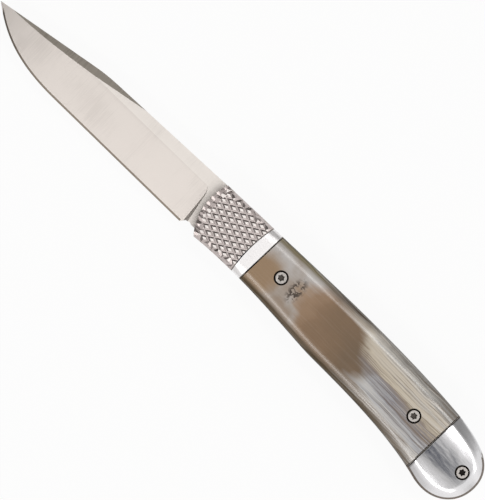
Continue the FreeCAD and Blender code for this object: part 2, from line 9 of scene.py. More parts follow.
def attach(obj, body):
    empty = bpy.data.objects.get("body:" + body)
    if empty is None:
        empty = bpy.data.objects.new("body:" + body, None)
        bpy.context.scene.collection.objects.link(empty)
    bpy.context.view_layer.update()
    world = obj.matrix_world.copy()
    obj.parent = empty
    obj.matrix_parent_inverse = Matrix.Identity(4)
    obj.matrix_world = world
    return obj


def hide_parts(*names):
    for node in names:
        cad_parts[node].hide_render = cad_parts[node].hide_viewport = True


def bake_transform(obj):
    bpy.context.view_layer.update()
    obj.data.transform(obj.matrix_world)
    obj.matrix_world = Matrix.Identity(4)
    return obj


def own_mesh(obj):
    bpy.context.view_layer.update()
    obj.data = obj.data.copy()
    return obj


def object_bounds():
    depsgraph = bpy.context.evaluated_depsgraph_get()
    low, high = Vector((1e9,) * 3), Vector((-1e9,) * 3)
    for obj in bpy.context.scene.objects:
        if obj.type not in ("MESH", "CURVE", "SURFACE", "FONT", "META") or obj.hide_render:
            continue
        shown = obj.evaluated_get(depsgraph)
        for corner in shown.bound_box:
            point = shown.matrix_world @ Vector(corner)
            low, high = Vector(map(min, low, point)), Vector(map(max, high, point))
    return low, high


# Folding pocket knife: satin clip-point blade, knurled bolsters, polished collars and end bolsters, and
# horn scales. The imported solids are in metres: X from tip to butt, Y from edge to back, Z up out of the
# front face.

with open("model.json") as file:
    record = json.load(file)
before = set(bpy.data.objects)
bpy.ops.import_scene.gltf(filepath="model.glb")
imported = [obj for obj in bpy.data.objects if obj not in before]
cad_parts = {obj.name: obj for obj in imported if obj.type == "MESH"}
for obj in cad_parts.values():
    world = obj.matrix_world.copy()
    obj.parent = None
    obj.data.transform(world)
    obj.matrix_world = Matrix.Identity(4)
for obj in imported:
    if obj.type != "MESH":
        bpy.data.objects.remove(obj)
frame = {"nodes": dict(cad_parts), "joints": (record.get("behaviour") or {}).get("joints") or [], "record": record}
cad_low, cad_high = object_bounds()
scene = bpy.context.scene
MM = 0.001
PIVOT = Vector(next(joint["pos_m"] for joint in frame["joints"] if joint["name"] == "blade_fold"))
FACE = cad_high.z
MIDDLE = FACE / 2

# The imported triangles: how close two points are one, and how little a flat face may turn
MERGE_DISTANCE = 0.0005 * MM
FLAT_TURN = math.radians(0.3)

# How far the rounded shoulders fall below the flat facets, and how near to the face a facet is
SHOULDER_RISE = 2.2 * MM
FACET_MARGIN = 0.05 * MM

# Turns, in degrees, up to which a piece is shaded smooth
SMOOTH_TURN = 25
BLADE_SMOOTH_TURN = 8
KNURL_SMOOTH_TURN = 20

# Faces of the blade, by the Z of their normals: walls, slopes of the plunge, other slopes, and flats
WALL, PLUNGE_SLOPE, SLOPE, FLAT = 0.2, 0.95, 0.97, 0.9998
PLUNGE_FACING = -0.25

# The knurl: the largest flat top of a lozenge, the heights between which the grooves' floors lie, and how
# much shallower the round nose of the cutter leaves the grooves
LOZENGE_TOP = 1.2 * MM ** 2
GROOVE_LOW, GROOVE_HIGH = MIDDLE - 0.5 * MM, MIDDLE - 0.3 * MM
GROOVE_FILL = 0.16 * MM
KNURL_FOOT = MIDDLE - SHOULDER_RISE - 0.2 * MM

# The rounded front border of the knurled bolsters, how far its rounding turns, the share of it that is
# filled out, and how far to either side its foot is looked for
FRONT_BORDER = 1.3 * MM
SHOULDER_TURN = math.radians(62)
FULLER = 0.7
FOOT_MARGIN = 0.1 * MM
FOOT_REACH = 1.0 * MM

# Handle pieces: turns, in degrees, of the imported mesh's rings under the facet, of the crease round the facet
# and of the edges at the ends, how deep the rings and stray points lie, and how far the ends are broken
RING_TURNS = 5, 15
CREASE_TURNS = 5, 40
SHARP_TURN = 60
RING_DEPTHS = 0.2 * MM, 0.6 * MM
STRAY_DEPTHS = 0.1 * MM, 0.6 * MM
JOINED_TURN = math.radians(8)
SHOULDER_FOOT = MIDDLE - SHOULDER_RISE - 0.01 * MM
JOINT_BREAK = 0.15 * MM

# Places in a handle piece's list of finishes
DARK_JOINT_AND_SHADE, RIM_SHADE = 1, 2

# How level faces are, as the Z of their normals: facets, groove floors, the outer skin, the rim painted dark
# as shade, and end walls; and how far end walls and that rim face along X and Y
FACET_LEVEL, FLOOR_LEVEL, SKIN_LEVEL, RIM_SHADE_LEVEL, UPRIGHT = 0.9999, 0.999, 0.5, 0.72, 0.01
END_FACING, RIM_SHADE_FACING = 0.7, 0.4

# End bolsters: the fall of the crown, and the cuts that let it curve, in mm from the front and the middle
CROWN = 1.6 * MM
CROWN_CUTS = range(-10, 20)

# Screws, from the pivot
SCALE_SCREWS = [PIVOT + Vector((x, y, 0)) * MM for x, y in ((22.3, 1.24), (77.54, 0.12))]
END_SCREW = PIVOT + Vector((98.95, -1.55, 0)) * MM
RECESS_RADIUS = 2.25 * MM
RECESS_MARGIN = 0.1 * MM
RECESS_DEPTH = 0.2 * MM
HEAD_MARGIN = 0.01 * MM
SOCKET_RADIUS = 1.1 * MM
SOCKET_MARGIN = 0.005 * MM
SOCKET_DEPTH = 0.8 * MM
SOCKET_WEAR = 1.2
SCREW_RIM = 0.1 * MM

# Springs: the heights between which the drive spring's tab twists, and the cuts that let it
COIL_HEIGHT = 4.0 * MM
TANG_HEIGHT = 5.5 * MM
TAB_STEPS = 16


# Camera, light and floor

PICTURE_HEIGHT = 144.2 * MM
AIM = Vector((PIVOT.x + 8.72 * MM, PIVOT.y - 0.95 * MM, FACE))
CAMERA_HEIGHT = 2.0
CAMERA_TURN = math.radians(45)
SENSOR = 36.0
SOFTBOX_HEIGHT = 1.0
FLOOR_REACH = 4.0
FLOOR_GAP = 0.05 * MM
PAPER_GLOW = 0.92

# A size so large that a pattern takes no notice of that axis
ANY = 1000.0

# Colour sockets of a Mix node: what it starts from, what it goes to, and what comes out
MIX_FROM, MIX_TO, MIXED = 6, 7, 2


def add_camera():
    """A long lens straight above the knife, turned so that the tip points up and left."""
    camera = bpy.data.objects.new("camera", bpy.data.cameras.new("camera"))
    scene.collection.objects.link(camera)
    camera.data.sensor_width = SENSOR
    camera.data.lens = SENSOR * CAMERA_HEIGHT / PICTURE_HEIGHT
    camera.location = AIM + Vector((0, 0, CAMERA_HEIGHT))
    camera.rotation_euler = (0, 0, CAMERA_TURN)
    scene.camera = camera


def add_softbox(name, lean, shift, length, width, glow):
    """A strip of soft light above the knife, leaning to the back and shifted to the butt, in degrees."""
    lamp = bpy.data.objects.new(name, bpy.data.lights.new(name, "AREA"))
    scene.collection.objects.link(lamp)
    lamp.data.shape = "RECTANGLE"
    lamp.data.size = length
    lamp.data.size_y = width
    lamp.data.energy = math.pi * length * width * glow
    turn = Matrix.Rotation(math.radians(-lean), 4, "X") @ Matrix.Rotation(math.radians(shift), 4, "Y")
    lamp.matrix_world = turn @ Matrix.Translation((0, 0, SOFTBOX_HEIGHT))


def linear(text):
    """An sRGB hex colour as linear red, green, blue and alpha."""
    parts = [int(text[i:i + 2], 16) / 255 for i in (1, 3, 5)]
    return [p / 12.92 if p <= 0.04045 else ((p + 0.055) / 1.055) ** 2.4 for p in parts] + [1.0]


def put(tree, kind, inputs=None, stops=None, **settings):
    """Adds a node with its settings, its input values or links, and its colour stops, the two ends first."""
    node = tree.nodes.new(kind)
    for name, value in settings.items():
        setattr(node, name, value)
    for name, value in (inputs or {}).items():
        if isinstance(value, bpy.types.NodeSocket):
            tree.links.new(value, node.inputs[name])
        else:
            node.inputs[name].default_value = value
    for index, (place, colour) in enumerate(stops or []):
        ramp = node.color_ramp.elements
        stop = ramp[index] if index < 2 else ramp.new(place)
        stop.position = place
        stop.color = linear(colour)
    return node


def studio_walls(tree, along, off_floor):
    """Walls and ceiling: a dark card beyond the tip, a dim middle and a window beyond the butt."""
    length = put(tree, "ShaderNodeMapRange", {"Value": along["X"], "From Min": -1.0, "From Max": 1.0})
    room = put(tree, "ShaderNodeValToRGB", {"Fac": length.outputs[0]},
               stops=[(0.3, "#4c4a48"), (1.0, "#d4d2d0"), (0.42, "#908e8c"), (0.52, "#92918f"),
                      (0.6, "#f8f7f6"), (0.8, "#f8f7f6")])
    # A greyer wall square behind the back of the knife
    aside = put(tree, "ShaderNodeMath", {0: along["X"]}, operation="ABSOLUTE")
    square_on = put(tree, "ShaderNodeMapRange", {
        "Value": aside.outputs[0], "From Min": 0.2, "From Max": 0.35, "To Min": 0.6, "To Max": 0.0})
    behind = put(tree, "ShaderNodeMapRange", {
        "Value": along["Y"], "From Min": 0.3, "From Max": 0.6, "To Max": square_on.outputs[0]})
    sides = put(tree, "ShaderNodeMix", {
        "Factor": behind.outputs[0], MIX_FROM: room.outputs["Color"], MIX_TO: linear("#7e7d7c"),
    }, data_type="RGBA")
    skirting = put(tree, "ShaderNodeValToRGB", {"Fac": length.outputs[0]},
                   stops=[(0.32, "#3c3a38"), (0.46, "#d4d2d0")])
    walls = put(tree, "ShaderNodeMix", {
        "Factor": off_floor, MIX_FROM: skirting.outputs["Color"], MIX_TO: sides.outputs[MIXED],
    }, data_type="RGBA")
    return walls.outputs[MIXED]


def studio_scrims(tree, along, off_floor):
    """Scrims round the softboxes, which fade towards the middle, the side walls, the floor and the tip."""
    across = put(tree, "ShaderNodeMapRange", {"Value": along["Y"], "From Min": -1.0, "From Max": 1.0})
    hung = put(tree, "ShaderNodeValToRGB", {"Fac": across.outputs[0]},
               stops=[(0.0, "#8a8a8a"), (0.81, "#000000"), (0.22, "#ffffff"), (0.3, "#ffffff"),
                      (0.48, "#000000"), (0.49, "#000000"), (0.58, "#ffffff"), (0.66, "#ffffff")])
    not_tip = put(tree, "ShaderNodeMapRange", {"Value": along["X"], "From Min": -0.3, "From Max": -0.05})
    there = put(tree, "ShaderNodeMath", {0: not_tip.outputs[0], 1: off_floor}, operation="MULTIPLY")
    scrims = put(tree, "ShaderNodeMath", {
        0: hung.outputs["Color"], 1: there.outputs[0]}, operation="MULTIPLY")
    return scrims.outputs[0]


def boom_overhead(tree, direction, along):
    """Where the dark boom hangs, a little off the middle of the ceiling."""
    off_boom = put(tree, "ShaderNodeMapping", {
        "Vector": direction, "Location": (0.01, -0.04, 1), "Scale": (0.09, 0.07, ANY)}, vector_type="TEXTURE")
    away = put(tree, "ShaderNodeVectorMath", {0: off_boom.outputs[0]}, operation="LENGTH")
    near = put(tree, "ShaderNodeMapRange", {"Value": away.outputs["Value"], "From Min": 1.0, "From Max": 0.6})
    above = put(tree, "ShaderNodeMath", {0: along["Z"], 1: 0.5}, operation="GREATER_THAN")
    cover = put(tree, "ShaderNodeMath", {0: near.outputs[0], 1: above.outputs[0]}, operation="MULTIPLY")
    return cover.outputs[0]


def add_world():
    """A studio room, which the knurl and the polished steel mirror; the camera itself sees white."""
    world = bpy.data.worlds.new("studio")
    scene.world = world
    world.use_nodes = True
    tree = world.node_tree
    tree.nodes.clear()
    direction = put(tree, "ShaderNodeTexCoord").outputs["Generated"]
    along = put(tree, "ShaderNodeSeparateXYZ", {"Vector": direction}).outputs
    off_floor = put(tree, "ShaderNodeMapRange", {
        "Value": along["Z"], "From Min": 0.1, "From Max": 0.35}).outputs[0]
    walls = studio_walls(tree, along, off_floor)
    scrims = studio_scrims(tree, along, off_floor)
    cover = boom_overhead(tree, direction, along)
    spill = put(tree, "ShaderNodeMix", {
        "Factor": scrims, MIX_FROM: walls, MIX_TO: (1.1, 1.08, 1.07, 1)}, data_type="RGBA")
    boom = put(tree, "ShaderNodeMix", {
        "Factor": cover, MIX_FROM: spill.outputs[MIXED], MIX_TO: linear("#1c2840")}, data_type="RGBA")
    path = put(tree, "ShaderNodeLightPath")
    studio = put(tree, "ShaderNodeBackground", {"Color": boom.outputs[MIXED], "Strength": 1.0})
    white = put(tree, "ShaderNodeBackground", {"Color": (1, 1, 1, 1), "Strength": 1.0})
    shown = put(tree, "ShaderNodeMixShader", {
        0: path.outputs["Is Camera Ray"], 1: studio.outputs[0], 2: white.outputs[0]})
    put(tree, "ShaderNodeOutputWorld", {"Surface": shown.outputs[0]})


def white_paper():
    """Matt white paper, which looks white to the camera and in the steel, and keeps the knife's shadow."""
    material = bpy.data.materials.new("white_paper")
    material.use_nodes = True
    tree = material.node_tree
    tree.nodes.clear()
    paper = put(tree, "ShaderNodeBsdfDiffuse", {"Color": linear("#f6f6f6")})
    glow = put(tree, "ShaderNodeEmission", {"Color": (1, 1, 1, 1), "Strength": 1.0})
    path = put(tree, "ShaderNodeLightPath").outputs
    mirrored = put(tree, "ShaderNodeMath", {
        0: path["Is Glossy Ray"], 1: path["Is Transmission Ray"]}, operation="MAXIMUM")
    seen = put(tree, "ShaderNodeMath", {
        0: path["Is Camera Ray"], 1: mirrored.outputs[0]}, operation="MAXIMUM")
    share = put(tree, "ShaderNodeMath", {0: seen.outputs[0], 1: PAPER_GLOW}, operation="MULTIPLY")
    surface = put(tree, "ShaderNodeMixShader", {0: share.outputs[0], 1: paper.outputs[0], 2: glow.outputs[0]})
    put(tree, "ShaderNodeOutputMaterial", {"Surface": surface.outputs[0]})
    return material


def add_floor():
    """A sheet of paper just under the knife."""
    mesh = bpy.data.meshes.new("floor")
    shape = bmesh.new()
    bmesh.ops.create_grid(shape, x_segments=1, y_segments=1, size=FLOOR_REACH)
    bmesh.ops.translate(shape, verts=shape.verts, vec=(0, 0, -FLOOR_GAP))
    shape.to_mesh(mesh)
    shape.free()
    floor = bpy.data.objects.new("floor", mesh)
    scene.collection.objects.link(floor)
    mesh.materials.append(white_paper())


scene.view_settings.view_transform = "Standard"
add_camera()
add_world()
add_floor()
add_softbox("softbox_back", lean=18, shift=9, length=0.7, width=0.14, glow=3.8)
add_softbox("softbox_edge", lean=-26, shift=9, length=0.7, width=0.16, glow=3.8)


# Finishes

def start_material(name, shader):
    """A new material, its nodes, its shader, and the place on the piece in metres."""
    material = bpy.data.materials.new(name)
    material.use_nodes = True
    tree = material.node_tree
    tree.nodes.clear()
    surface = put(tree, "ShaderNodeBsdfPrincipled", shader)
    put(tree, "ShaderNodeOutputMaterial", {"Surface": surface.outputs[0]})
    place = put(tree, "ShaderNodeTexCoord").outputs["Object"]
    return material, tree, surface, place


def ground_steel(name, dark, light, roughness, pitch, depth=0.01 * MM):
    """Belt-ground steel: fine lines across the length and a soft sheen.

    The real lines are about 0.05 mm apart, and the pitch is wider, so that they show.
    """
    material, tree, surface, place = start_material(name, {"Metallic": 1.0})
    stretch = put(tree, "ShaderNodeMapping", {
        "Vector": place, "Scale": (1 / pitch, 0.03 / pitch, 0.03 / pitch)})
    lines = put(tree, "ShaderNodeTexNoise", {
        "Vector": stretch.outputs[0], "Scale": 1.0, "Detail": 4.0, "Roughness": 0.7}).outputs["Fac"]
    # Clouds about 12 mm across, where the belt pressed more or less
    cloud = put(tree, "ShaderNodeTexNoise", {"Vector": place, "Scale": 0.08 / MM, "Detail": 2.0})
    blend = put(tree, "ShaderNodeMath", {0: lines, 1: cloud.outputs["Fac"]}, operation="ADD")
    colour = put(tree, "ShaderNodeValToRGB", {"Fac": blend.outputs[0]}, stops=[(0.75, dark), (1.0, light)])
    tree.links.new(colour.outputs["Color"], surface.inputs["Base Color"])
    sheen = put(tree, "ShaderNodeMapRange", {
        "Value": lines, "From Min": 0.3, "From Max": 0.7,
        "To Min": roughness - 0.04, "To Max": roughness + 0.04})
    tree.links.new(sheen.outputs[0], surface.inputs["Roughness"])
    bump = put(tree, "ShaderNodeBump", {"Height": lines, "Strength": 0.3, "Distance": depth})
    tree.links.new(bump.outputs[0], surface.inputs["Normal"])
    return material


def buffed_steel(name, colour, roughness, wave):
    """Buffed steel: a mirror never quite flat, with hairlines from the wheel, drawn 0.2 mm wide to show."""
    material, tree, surface, place = start_material(name, {"Metallic": 1.0, "Base Color": linear(colour)})
    hairs = put(tree, "ShaderNodeMapping", {"Vector": place, "Scale": (0.3 / MM, 5 / MM, 5 / MM)})
    scratch = put(tree, "ShaderNodeTexNoise", {"Vector": hairs.outputs[0], "Scale": 1.0, "Detail": 2.0})
    gloss = put(tree, "ShaderNodeMapRange", {
        "Value": scratch.outputs["Fac"], "From Min": 0.3, "From Max": 0.7,
        "To Min": roughness * 0.85, "To Max": roughness * 1.2})
    tree.links.new(gloss.outputs[0], surface.inputs["Roughness"])
    # Swells about 8 mm long and 3 mm wide, from hand buffing
    roll = put(tree, "ShaderNodeMapping", {"Vector": place, "Scale": (0.12 / MM, 0.35 / MM, 0.12 / MM)})
    swell = put(tree, "ShaderNodeTexNoise", {"Vector": roll.outputs[0], "Scale": 1.0, "Detail": 2.0})
    bump = put(tree, "ShaderNodeBump", {"Height": swell.outputs["Fac"], "Strength": 1.0, "Distance": wave})
    tree.links.new(bump.outputs[0], surface.inputs["Normal"])
    return material


def worn_metal(name, dark, light, roughness, grit):
    """Metal with a fine tooth: light and dark specks of the grit's size, and a sheen that varies too."""
    material, tree, surface, place = start_material(name, {"Metallic": 1.0})
    tooth = put(tree, "ShaderNodeTexNoise", {
        "Vector": place, "Scale": 1 / grit, "Detail": 4.0, "Roughness": 0.6}).outputs["Fac"]
    colour = put(tree, "ShaderNodeValToRGB", {"Fac": tooth}, stops=[(0.35, dark), (0.65, light)])
    tree.links.new(colour.outputs["Color"], surface.inputs["Base Color"])
    sheen = put(tree, "ShaderNodeMapRange", {
        "Value": tooth, "From Min": 0.3, "From Max": 0.7,
        "To Min": roughness + 0.08, "To Max": roughness - 0.05})
    tree.links.new(sheen.outputs[0], surface.inputs["Roughness"])
    bump = put(tree, "ShaderNodeBump", {"Height": tooth, "Strength": 0.25, "Distance": 0.1 * grit})
    tree.links.new(bump.outputs[0], surface.inputs["Normal"])
    return material


def horn_layers(tree, fibre, where, slope):
    """Layers of fibres behind the heart: pale grey at the belly, then slate, then cream towards the back."""
    fall = put(tree, "ShaderNodeMath", {0: where["X"], 1: slope, 2: where["Y"]}, operation="MULTIPLY_ADD")
    level = put(tree, "ShaderNodeMapRange", {
        "Value": fall.outputs[0], "From Min": 60 * slope - 9.0, "From Max": 60 * slope + 11.0,
        "To Min": -0.42, "To Max": 0.58}, clamp=False)
    layer = put(tree, "ShaderNodeMath", {0: fibre, 1: 0.84, 2: level.outputs[0]}, operation="MULTIPLY_ADD")
    rear = put(tree, "ShaderNodeValToRGB", {"Fac": layer.outputs[0]},
               stops=[(0.08, "#9a8f84"), (0.95, "#a09e9a"), (0.2, "#d2d0cd"), (0.36, "#bcbdc0"),
                      (0.47, "#8a878d"), (0.56, "#9a8d81"), (0.63, "#cfc3ae"), (0.76, "#d2c8b8"),
                      (0.84, "#dcd6cc")])
    return rear.outputs["Color"]


def horn_front(tree, mottle, warped, where, tan):
    """Soft grey mottling ahead of the heart, paler towards the back, and the tan end."""
    paler = put(tree, "ShaderNodeMath", {0: where["Y"], 1: 0.026, 2: mottle}, operation="MULTIPLY_ADD")
    grey = put(tree, "ShaderNodeValToRGB", {"Fac": paler.outputs[0]},
               stops=[(0.38, "#a08e7d"), (0.68, "#c4bfbb"), (0.52, "#b0a59b")])
    end = put(tree, "ShaderNodeMapping", {
        "Vector": warped, "Location": (*tan, 0), "Scale": (7.0, 8.0, ANY)}, vector_type="TEXTURE")
    end_far = put(tree, "ShaderNodeVectorMath", {0: end.outputs[0]}, operation="LENGTH")
    at_end = put(tree, "ShaderNodeMapRange", {
        "Value": end_far.outputs["Value"], "From Min": 1.1, "From Max": 0.5}, interpolation_type="SMOOTHSTEP")
    front = put(tree, "ShaderNodeMix", {
        "Factor": at_end.outputs[0], MIX_FROM: grey.outputs["Color"], MIX_TO: linear("#a08465"),
    }, data_type="RGBA")
    return front.outputs[MIXED]


def horn_heart(tree, body, fibre, mottle, warped, where, patch, reach, slope):
    """The brown heart, with a ragged edge, paler at its front."""
    heart = put(tree, "ShaderNodeMapping", {
        "Vector": warped, "Location": (*patch, 0), "Rotation": (0, 0, -slope), "Scale": (*reach, ANY),
    }, vector_type="TEXTURE")
    far = put(tree, "ShaderNodeVectorMath", {0: heart.outputs[0]}, operation="LENGTH")
    ragged = put(tree, "ShaderNodeMath", {
        0: fibre, 1: 0.4, 2: far.outputs["Value"]}, operation="MULTIPLY_ADD")
    inside = put(tree, "ShaderNodeMapRange", {
        "Value": ragged.outputs[0], "From Min": 1.32, "From Max": 0.98}, interpolation_type="SMOOTHSTEP")
    run = put(tree, "ShaderNodeMapRange", {
        "Value": where["X"], "From Min": patch[0] - reach[0], "From Max": patch[0] + reach[0],
        "To Min": -0.2, "To Max": 0.8}, clamp=False)
    tone = put(tree, "ShaderNodeMath", {0: mottle, 1: 0.4, 2: run.outputs[0]}, operation="MULTIPLY_ADD")
    brown = put(tree, "ShaderNodeValToRGB", {"Fac": tone.outputs[0]},
                stops=[(0.05, "#a98b6e"), (0.95, "#715c44"), (0.3, "#8f7255"), (0.6, "#81674b")])
    warm = put(tree, "ShaderNodeMix", {
        "Factor": inside.outputs[0], MIX_FROM: body, MIX_TO: brown.outputs["Color"]}, data_type="RGBA")
    return warm.outputs[MIXED]


def horn_threads(tree, warm, threads, where, patch):
    """Fine brown and cream threads, mostly behind the heart."""
    most = put(tree, "ShaderNodeMapRange", {
        "Value": where["X"], "From Min": patch[0] + 12.0, "From Max": patch[0] + 20.0,
        "To Min": 0.04, "To Max": 0.65})
    line = put(tree, "ShaderNodeMapRange", {
        "Value": threads, "From Min": 0.48, "From Max": 0.64, "To Max": most.outputs[0]})
    gleam = put(tree, "ShaderNodeMapRange", {
        "Value": threads, "From Min": 0.46, "From Max": 0.34, "To Max": most.outputs[0]})
    creamed = put(tree, "ShaderNodeMix", {
        "Factor": gleam.outputs[0], MIX_FROM: warm, MIX_TO: linear("#ddd5c8")}, data_type="RGBA")
    lined = put(tree, "ShaderNodeMix", {
        "Factor": line.outputs[0], MIX_FROM: creamed.outputs[MIXED], MIX_TO: linear("#6a563f"),
    }, data_type="RGBA")
    return lined.outputs[MIXED]


def horn_cracks(tree, lined, mm, split):
    """A few small drying cracks, about half a millimetre wide."""
    area = put(tree, "ShaderNodeMapping", {
        "Vector": mm, "Location": (*split, 0), "Scale": (2.6, 4.8, ANY)}, vector_type="TEXTURE")
    near = put(tree, "ShaderNodeVectorMath", {0: area.outputs[0]}, operation="LENGTH")
    there = put(tree, "ShaderNodeMapRange", {
        "Value": near.outputs["Value"], "From Min": 1.0, "From Max": 0.5})
    tear = put(tree, "ShaderNodeTexNoise", {"Vector": mm, "Scale": 0.8, "Detail": 4.0, "Distortion": 1.0})
    dark = put(tree, "ShaderNodeMapRange", {"Value": tear.outputs["Fac"], "From Min": 0.47, "From Max": 0.52})
    marked = put(tree, "ShaderNodeMath", {0: there.outputs[0], 1: dark.outputs[0]}, operation="MULTIPLY")
    cracked = put(tree, "ShaderNodeMix", {
        "Factor": marked.outputs[0], MIX_FROM: lined, MIX_TO: linear("#4a3d31")}, data_type="RGBA")
    return cracked.outputs[MIXED]


def horn_rind_and_edge_shade(tree, cracked, threads, where, patch):
    """The rind that the rounded edges cut into, darkest along the belly and thin towards the butt; its darkness
    is partly painted shade on those tilted edges.

    Gives the colour with the rind and painted shade over it, and how deep they are there.
    """
    normal = put(tree, "ShaderNodeNewGeometry").outputs["Normal"]
    facing = put(tree, "ShaderNodeSeparateXYZ", {"Vector": normal}).outputs
    flat = put(tree, "ShaderNodeMath", {0: facing["Z"]}, operation="ABSOLUTE").outputs[0]
    # Tilted faces darken: partly the horn's rind, partly painted shade
    rind_and_shade = put(tree, "ShaderNodeMapRange", {"Value": flat, "From Min": 0.97, "From Max": 0.88})
    back = put(tree, "ShaderNodeMapRange", {"Value": facing["Y"], "From Min": -0.2, "From Max": 0.2})
    thin = put(tree, "ShaderNodeMapRange", {
        "Value": where["X"], "From Min": patch[0] + 4.0, "From Max": patch[0] + 16.0,
        "To Min": 0.9, "To Max": 0.2})
    thick = put(tree, "ShaderNodeMapRange", {
        "Value": where["X"], "From Min": patch[0] + 16.0, "From Max": patch[0] + 36.0,
        "To Min": 1.0, "To Max": 0.65})
    share = put(tree, "ShaderNodeMix", {
        "Factor": back.outputs[0], "A": thick.outputs[0], "B": thin.outputs[0]})
    grain = put(tree, "ShaderNodeMapRange", {
        "Value": threads, "From Min": 0.35, "From Max": 0.65, "To Min": 0.6, "To Max": 1.15})
    rough = put(tree, "ShaderNodeMath", {0: share.outputs[0], 1: grain.outputs[0]}, operation="MULTIPLY")
    depth = put(tree, "ShaderNodeMath", {
        0: rind_and_shade.outputs[0], 1: rough.outputs[0]}, operation="MULTIPLY").outputs[0]
    darker = put(tree, "ShaderNodeMapRange", {
        "Value": where["X"], "From Min": patch[0] - 16.0, "From Max": patch[0] - 4.0})
    olive = put(tree, "ShaderNodeMix", {
        "Factor": darker.outputs[0], MIX_FROM: linear("#786c48"), MIX_TO: linear("#3f2d14"),
    }, data_type="RGBA")
    rind_and_shade_colour = put(tree, "ShaderNodeMix", {
        "Factor": back.outputs[0], MIX_FROM: linear("#45330c"), MIX_TO: olive.outputs[MIXED],
    }, data_type="RGBA")
    edged = put(tree, "ShaderNodeMix", {
        "Factor": depth, MIX_FROM: cracked, MIX_TO: rind_and_shade_colour.outputs[MIXED]}, data_type="RGBA")
    # A dark line of painted shade where the edge turns down to the liner
    steep_edge_shade = put(tree, "ShaderNodeMapRange", {
        "Value": flat, "From Min": 0.68, "From Max": 0.5, "To Max": 0.75})
    with_edge_shade = put(tree, "ShaderNodeMix", {
        "Factor": steep_edge_shade.outputs[0], MIX_FROM: edged.outputs[MIXED], MIX_TO: linear("#3a3020"),
    }, data_type="RGBA")
    return with_edge_shade.outputs[MIXED], depth


def polished_horn(name, patch, reach, tan, split, slope):
    """Buffed horn: fibres in layers, a brown heart, tan and mottled grey ahead of it, cracks, and a dark rind
    that is partly painted shade.

    Patch and reach are the middle and half size of the brown heart, tan the middle of the tan end and split
    the place of the small cracks, in mm; slope is how far the layers fall per mm along the handle.
    """
    material, tree, surface, place = start_material(name, {"IOR": 1.54, "Coat Roughness": 0.18})
    mm = put(tree, "ShaderNodeMapping", {"Vector": place, "Scale": (1 / MM, 1 / MM, 1 / MM)}).outputs[0]
    # Swells about 10 mm across push the layers far along the handle and less far across it
    sway = put(tree, "ShaderNodeTexNoise", {"Vector": mm, "Scale": 0.1, "Detail": 2.0})
    push = put(tree, "ShaderNodeVectorMath", {
        0: sway.outputs["Color"], 1: (0.5, 0.5, 0.5)}, operation="SUBTRACT").outputs[0]
    warped, calm = (
        put(tree, "ShaderNodeVectorMath", {0: push, 1: far, 2: mm}, operation="MULTIPLY_ADD").outputs[0]
        for far in ((14.0, 3.0, 0.0), (14.0, 1.2, 0.0)))
    where = put(tree, "ShaderNodeSeparateXYZ", {"Vector": warped}).outputs
    # Fibres from 1.5 mm wide down to fine lines, and threads about 0.4 mm wide, follow the handle's droop
    droop = (0, 0, math.atan(slope))
    lie = put(tree, "ShaderNodeMapping", {"Vector": calm, "Rotation": droop, "Scale": (0.03, 0.7, 0.3)})
    fibre = put(tree, "ShaderNodeTexNoise", {
        "Vector": lie.outputs[0], "Scale": 1.0, "Detail": 8.0, "Roughness": 0.75}).outputs["Fac"]
    thread = put(tree, "ShaderNodeMapping", {"Vector": calm, "Rotation": droop, "Scale": (0.04, 2.6, 0.3)})
    threads = put(tree, "ShaderNodeTexNoise", {
        "Vector": thread.outputs[0], "Scale": 1.0, "Detail": 4.0, "Roughness": 0.6}).outputs["Fac"]
    # Mottling in patches of about 8 mm
    mottle = put(tree, "ShaderNodeTexNoise", {
        "Vector": mm, "Scale": 0.13, "Detail": 5.0, "Roughness": 0.5}).outputs["Fac"]
    rear = horn_layers(tree, fibre, where, slope)
    front = horn_front(tree, mottle, warped, where, tan)
    ahead = put(tree, "ShaderNodeMapRange", {
        "Value": where["X"], "From Min": patch[0] - 6.0, "From Max": patch[0] + 4.0,
        "To Min": 1.0, "To Max": 0.0})
    body = put(tree, "ShaderNodeMix", {
        "Factor": ahead.outputs[0], MIX_FROM: rear, MIX_TO: front}, data_type="RGBA").outputs[MIXED]
    warm = horn_heart(tree, body, fibre, mottle, warped, where, patch, reach, slope)
    lined = horn_threads(tree, warm, threads, where, patch)
    cracked = horn_cracks(tree, lined, mm, split)
    colour, depth = horn_rind_and_edge_shade(tree, cracked, threads, where, patch)
    tree.links.new(colour, surface.inputs["Base Color"])
    # The rind takes less of a shine than the horn inside it
    gloss = put(tree, "ShaderNodeMapRange", {"Value": depth, "To Min": 0.6, "To Max": 0.0})
    tree.links.new(gloss.outputs[0], surface.inputs["Coat Weight"])
    dull = put(tree, "ShaderNodeMapRange", {"Value": depth, "To Min": 0.24, "To Max": 0.5})
    tree.links.new(dull.outputs[0], surface.inputs["Roughness"])
    return material


# Blade: pale and softly shining off the fine belt, paler on the flats, greyer on the cross-ground swedge, where
# the grey is painted shade, painted bright as light and rough on the plunge, and a thin darker line of painted
# shade on the honed edge
satin = ground_steel("satin_blade_steel", "#d8d1cb", "#e1dad4", 0.41, 0.3 * MM)
flat_steel = ground_steel("surface_ground_flat_steel", "#e4ded8", "#ece6e0", 0.42, 0.3 * MM)
swedge_painted_shade_steel = ground_steel("cross_ground_swedge_painted_shade", "#b5ada2", "#c5bdb2", 0.36, 0.4 * MM)
plunge_painted_light_steel = ground_steel("plunge_steel_painted_light", "#efe9e3", "#f7f1eb", 0.65, 0.4 * MM)
edge_painted_shade_steel = ground_steel("edge_bevel_painted_shade", "#857b70", "#958b80", 0.4, 0.2 * MM, 0.005 * MM)

# Knurl: grey shining flanks as they were cut, dull tops painted pale as a highlight, and dull grooves painted
# pale as light
knurled = worn_metal("cut_knurl_steel", "#bab0ad", "#c8bebb", 0.32, 0.25 * MM)
knurl_top_highlight = worn_metal("knurl_top_painted_highlight", "#ece6e2", "#f6f0ec", 0.42, 0.25 * MM)
groove = worn_metal("knurl_groove_painted_light", "#d4cbc8", "#e0d7d4", 0.45, 0.25 * MM)
